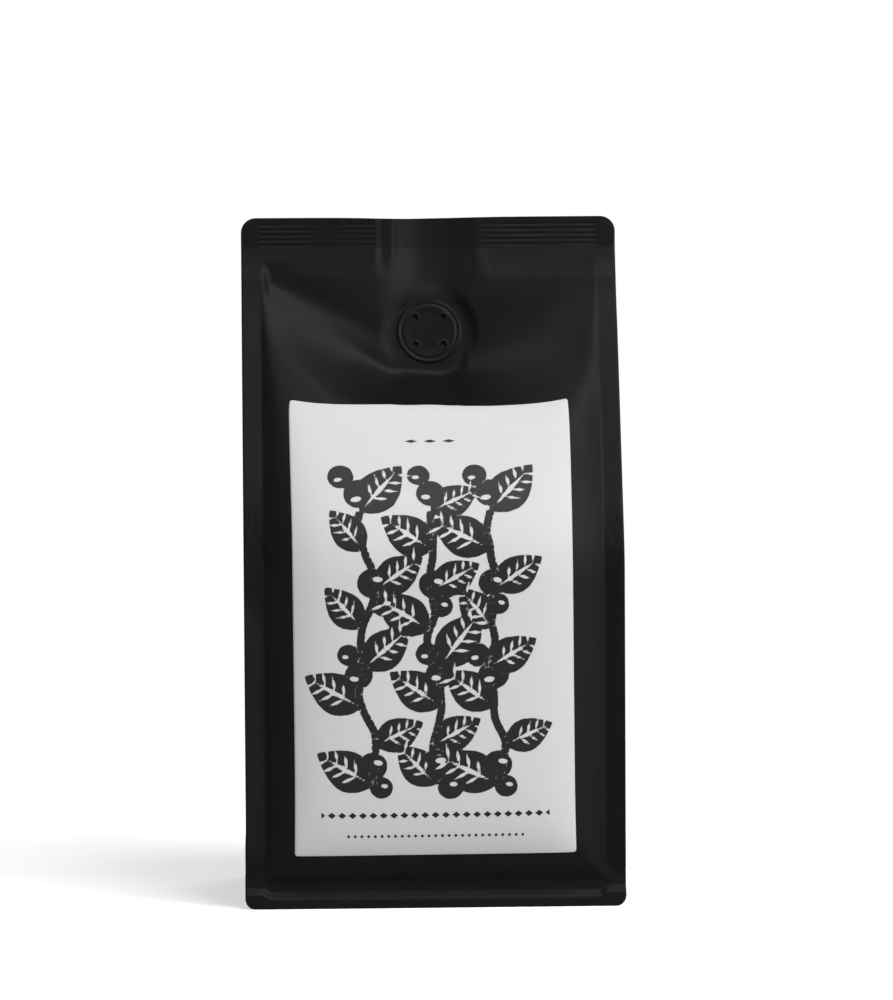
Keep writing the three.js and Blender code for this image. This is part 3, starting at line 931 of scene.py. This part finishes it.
def paper_material():
    material, tree, shader = new_material("label_paper")
    place = add(tree, "ShaderNodeTexCoord").outputs["Object"]
    flat = add(tree, "ShaderNodeAttribute", attribute_name="paper_place").outputs["Vector"]
    flat_mm = add(tree, "ShaderNodeVectorMath", (0, flat), ("Scale", 1 / MM), operation="SCALE")
    split = add(tree, "ShaderNodeSeparateXYZ", ("Vector", flat_mm)).outputs
    ragged = calc(tree, "MULTIPLY_ADD", noise(tree, flat, 420, 3, 0.6), 0.5, -0.25)
    ink_edge = add(tree, "ShaderNodeAttribute", attribute_name="ink_distance").outputs["Fac"]
    cut_edge = add(tree, "ShaderNodeAttribute", attribute_name="cut_distance").outputs["Fac"]
    inked = step_between(tree, calc(tree, "ADD", ink_edge, ragged), -0.1, 0.14, 1.0, 0.0)
    uncut = step_between(tree, calc(tree, "ADD", cut_edge, ragged), -0.1, 0.14, 0.0, 1.0)
    ink = product(tree, inked, uncut)
    for row in (TITLE_ROW, SMALL_ROW, TOP_ROW):
        ink = calc(tree, "MAXIMUM", ink, ornament_row(tree, split["X"], split["Y"], **row))
    front_side = add(tree, "ShaderNodeNewGeometry").outputs["True Normal"]
    facing = calc(tree, "LESS_THAN", add(tree, "ShaderNodeSeparateXYZ", (0, front_side)).outputs["Y"], 0.1)
    ink = product(tree, ink, facing)
    fibre = noise(tree, place, 1400, 5, 0.7)
    shade = step_between(tree, fibre, 0.0, 1.0, 0.965, 1.03, "LINEAR")
    paper = add(tree, "ShaderNodeVectorMath", (0, PAPER_WHITE), ("Scale", shade), operation="SCALE")
    mix = add(tree, "ShaderNodeMix", ("Factor", ink), (6, paper), (7, INK_BLACK), data_type="RGBA")
    matt = step_between(tree, ink, 0.0, 1.0, 0.72, 0.5)
    wire(tree, shader, ("Base Color", mix.outputs[2]), ("Roughness", matt), ("Specular IOR Level", 0.3))
    emboss(tree, shader, 0.25, 0.00005, fibre)
    return material


paper = paper_material()
print("paper finish:", paper.name)

# %% Print the label
run_tree(
    label, tree, stems=3, stem_gap=21 * MM, print_height=90 * MM, print_foot=24 * MM,
    stem_width=2.6 * MM, leaf_gap=12.2 * MM, seed=11, leaf_ink=leaf_ink, leaf_cut=leaf_cut,
    cherry_ink=cherry_ink, cherry_cut=cherry_cut, material=paper,
)
for motif in (leaf_ink, leaf_cut, cherry_ink, cherry_cut):
    bpy.data.objects.remove(motif)
ink = np.zeros(len(label.data.vertices))
label.data.attributes["ink_distance"].data.foreach_get("value", ink)
print("share of the paper under ink:", round(float((ink < 0).mean()), 2))

# %% [markdown]
# ## The valve
# The valve is a plastic disc welded behind the film, so what shows is film drawn over it: a raised ring, a
# groove inside it, a shallow dish and pierced vents. A disc of fine cells is made first, on a square grid
# that is bent into a circle, so that no cell is thin. A tree then presses the vents, each with its own size,
# because hot needles never pierce alike. Each vent has a lip of film pushed up round it.

# %% The valve's disc
VALVE_CELLS = 120
GROOVE_RADIUS = 9.3
VENT_CIRCLE = 6.6
lean_up = Vector((0, math.sin(VALVE_LEAN), math.cos(VALVE_LEAN)))
lean_out = Vector((0, -math.cos(VALVE_LEAN), math.sin(VALVE_LEAN)))
valve_centre = Vector((0, -VALVE_SEAT, VALVE_HEIGHT))


def disc_grid(radius, cells):
    s = np.linspace(-1, 1, cells + 1)
    a, b = np.meshgrid(s, s)
    return a * np.sqrt(1 - b * b / 2) * radius, b * np.sqrt(1 - a * a / 2) * radius


def valve_profile(r):
    """Height of the drawn film over its seat: a rounded rim, a groove, and a dish in the middle."""
    rim = 0.1 + 0.5 * (1 - smooth(VALVE_RADIUS - 0.9, VALVE_RADIUS, r))
    groove = 0.35 * bell((r - GROOVE_RADIUS) / 0.45)
    return rim - groove - 0.25 * (1 - smooth(5.5, 9.0, r))


def on_valve(x, y, rise):
    """Turns places on the disc into places on the leaning seat."""
    ways = np.array([(1, 0, 0), lean_up, lean_out])
    return np.array(valve_centre) + np.stack([x, y, rise], axis=-1) @ ways


vx, vy = disc_grid(VALVE_RADIUS, VALVE_CELLS)
from_middle = np.hypot(vx, vy)
outer = on_valve(vx, vy, valve_profile(from_middle))
inner = on_valve(vx, vy, 0.06 - (VALVE_POCKET - 0.1) * (1 - smooth(8.2, 9.2, from_middle)))
valve_rings = np.concatenate([outer, inner[:, ::-1]], axis=1)
valve = mesh_object("valve_cap", valve_rings.reshape(-1, 3), strip_faces(*valve_rings.shape[:2]))
print("valve:", len(valve.data.polygons), "faces")

# %% Geometry Nodes: the vents
tree, given = new_tree(
    "valve_vents",
    Int=("Vents", "Seed"),
    Float=("Circle", "Vent Size", "Depth", "Lean"),
    Vector=("Centre",),
    Material=("Material",),
)
circle = add(tree, "GeometryNodeMeshCircle", ("Vertices", given["Vents"]), ("Radius", given["Circle"]))
quarter = add(tree, "GeometryNodeTransform", ("Geometry", circle), ("Rotation", (0, 0, math.radians(45))))
tilt = calc(tree, "SUBTRACT", math.pi / 2, given["Lean"])
stand = add(
    tree, "GeometryNodeTransform", ("Geometry", quarter), ("Translation", given["Centre"]),
    ("Rotation", vector_of(tree, X=tilt)),
)
near = add(tree, "GeometryNodeProximity", (0, stand), target_element="POINTS")
nearest = add(tree, "GeometryNodeSampleNearest", ("Geometry", stand))
scale = chance(tree, 0.62, 1.15, ("ID", nearest), ("Seed", given["Seed"]))
size = product(tree, scale, given["Vent Size"])
share = calc(tree, "DIVIDE", near.outputs["Distance"], size)
pit = step_between(tree, share, 0.72, 1.0, -1.0, 0.0)
lip_out = step_between(tree, share, 1.25, 1.7, 1.0, 0.0)
lip = product(tree, step_between(tree, share, 0.95, 1.15), lip_out)
rise = calc(tree, "MULTIPLY_ADD", lip, 0.15, pit)
facing = add(tree, "GeometryNodeInputNormal").outputs[0]
outward = add(tree, "ShaderNodeVectorMath", (0, facing), (1, tuple(lean_out)), operation="DOT_PRODUCT")
on_face = step_between(tree, outward.outputs["Value"], 0.2, 0.6)
height = product(tree, rise, on_face, given["Depth"])
push = add(tree, "ShaderNodeVectorMath", (0, tuple(lean_out)), ("Scale", height), operation="SCALE")
moved = add(tree, "GeometryNodeSetPosition", ("Geometry", given["Geometry"]), ("Offset", push))
finish_tree(tree, moved, given["Material"])
run_tree(
    valve, tree, vents=4, circle=VENT_CIRCLE * MM, vent_size=1.1 * MM, depth=0.9 * MM,
    centre=tuple(valve_centre * MM), lean=VALVE_LEAN, seed=3, material=valve_film,
)
print("vents pressed into", len(valve.data.vertices), "points")

# %% [markdown]
# ## The studio
# The bag stands on a white floor among five soft lights. Two strong ones are at the front right, two weaker
# ones at the front left, and one behind serves the views from there. A long lens looks at the bag from a
# little above and slightly from the left, and the floor runs off to pure white behind.


# %% Camera
def direction(azimuth, elevation):
    """A way out from the bag, in degrees. Azimuth 0 is in front of it and 90 to its right."""
    turn, tilt = math.radians(azimuth), math.radians(elevation)
    return Vector((math.sin(turn) * math.cos(tilt), -math.cos(turn) * math.cos(tilt), math.sin(tilt)))


def set_up(name, data, way, location, roll=0.0):
    """Puts a camera or a light in its place, looking back along its way out."""
    thing = bpy.data.objects.new(name, data)
    thing.location = location
    thing.rotation_mode = "QUATERNION"
    thing.rotation_quaternion = (-way).to_track_quat("-Z", "Y") @ Quaternion((0, 0, 1), -roll)
    bpy.context.collection.objects.link(thing)
    return thing


PHOTO_HEIGHT = 1000
PIXELS_PER_MM = 2.985
CAMERA_DISTANCE = 1900.0
CAMERA_WAY = direction(-2.0, 4.0)
CAMERA_ROLL = math.radians(0.34)
SENSOR_WIDTH = 36.0
AIM = Vector((5.6, 0, 131.8))

camera_data = bpy.data.cameras.new("camera")
camera_data.sensor_width = SENSOR_WIDTH
camera_data.lens = SENSOR_WIDTH * CAMERA_DISTANCE * PIXELS_PER_MM / PHOTO_HEIGHT
camera_data.clip_end = 20
camera_place = (AIM + CAMERA_WAY * CAMERA_DISTANCE) * MM
bpy.context.scene.camera = set_up("camera", camera_data, CAMERA_WAY, camera_place, CAMERA_ROLL)
print("lens", round(camera_data.lens, 1), "mm")

# %% Floor
FLOOR_REACH = 6000.0
FLOOR_GLOW = 0.44


def split_for_camera(tree, for_light, for_camera, end):
    """The camera sees one shader, and light meets another."""
    seen = add(tree, "ShaderNodeLightPath").outputs["Is Camera Ray"]
    mix = add(tree, "ShaderNodeMixShader", (0, seen), (1, for_light), (2, for_camera))
    wire(tree, tree.nodes[end], ("Surface", mix))


def floor_finish():
    """White to the camera, with the bag's shadow, but a dimmer paper to the light that it sends back."""
    material, tree, shader = new_material("floor_white")
    wire(
        tree, shader, ("Base Color", (0.8, 0.8, 0.8, 1)), ("Roughness", 0.9), ("Specular IOR Level", 0.1),
        ("Emission Color", (1, 1, 1, 1)), ("Emission Strength", FLOOR_GLOW),
    )
    place = add(tree, "ShaderNodeTexCoord").outputs["Object"]
    away = add(tree, "ShaderNodeVectorMath", (0, place), operation="LENGTH").outputs["Value"]
    fade = step_between(tree, away, 0.06, 0.75, kind="LINEAR")
    glow = add(tree, "ShaderNodeEmission").outputs[0]
    far = add(tree, "ShaderNodeMixShader", (0, fade), (1, shader), (2, glow)).outputs[0]
    dim = add(tree, "ShaderNodeBsdfDiffuse", ("Color", (0.6, 0.6, 0.6, 1))).outputs[0]
    split_for_camera(tree, dim, far, "Material Output")
    return material


corners = [(x * FLOOR_REACH, y * FLOOR_REACH, 0) for x, y in ((-1, -1), (1, -1), (1, 1), (-1, 1))]
floor = mesh_object("floor", corners, [(0, 1, 2, 3)])
floor.data.materials.append(floor_finish())
print("floor is", 2 * FLOOR_REACH * MM, "m wide")


# %% Lights
def area_light(name, azimuth, elevation, distance, size, power):
    """A soft light that shines on the middle of the bag. Its distance and size are in metres."""
    data = bpy.data.lights.new(name, "AREA")
    data.shape = "RECTANGLE"
    data.size, data.size_y = size
    data.energy = power
    way = direction(azimuth, elevation)
    set_up(name, data, way, way * distance + Vector((0, 0, BAG_HEIGHT / 2 * MM)))


ROOM_LOW, ROOM_HIGH = 0.42, 0.15


def studio_world():
    """White to the camera, but a dim grey room to the bag."""
    world = bpy.data.worlds.new("studio")
    bpy.context.scene.world = world
    world.use_nodes = True
    tree = world.node_tree
    room = tree.nodes["Background"]
    place = add(tree, "ShaderNodeTexCoord").outputs["Generated"]
    up = add(tree, "ShaderNodeSeparateXYZ", (0, place)).outputs["Z"]
    dimming = step_between(tree, up, -0.2, 1.0, ROOM_LOW, ROOM_HIGH, "LINEAR")
    wire(tree, room, ("Strength", dimming))
    white = add(tree, "ShaderNodeBackground", ("Color", (1, 1, 1, 1)))
    split_for_camera(tree, room, white, "World Output")


area_light("key", 36, 56, 2.2, (1.0, 1.0), 31.5)
area_light("side", 54, 20, 1.9, (0.8, 1.1), 25)
area_light("fill", -34, 16, 2.0, (1.4, 1.4), 6.5)
area_light("high_fill", -30, 52, 2.2, (1.2, 1.2), 14)
area_light("back", 150, 30, 2.2, (1.4, 1.4), 12)
studio_world()
bpy.context.scene.view_settings.view_transform = "Standard"

# %% [markdown]
# ## Pieces on the body
# Each piece rides on the bag's one body and stands for the solid of the measured model that it covers,
# which is hidden. Beside each piece stands the name of a finish slot, which is not used.

# %% Ride on the body and hide the measured solids
for piece, node, slot in (
    (pouch, "pouch", "film"),
    (label, "label", "paper"),
    (valve, "valve", "valve_film"),
):
    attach(piece, "root")
    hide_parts(node)
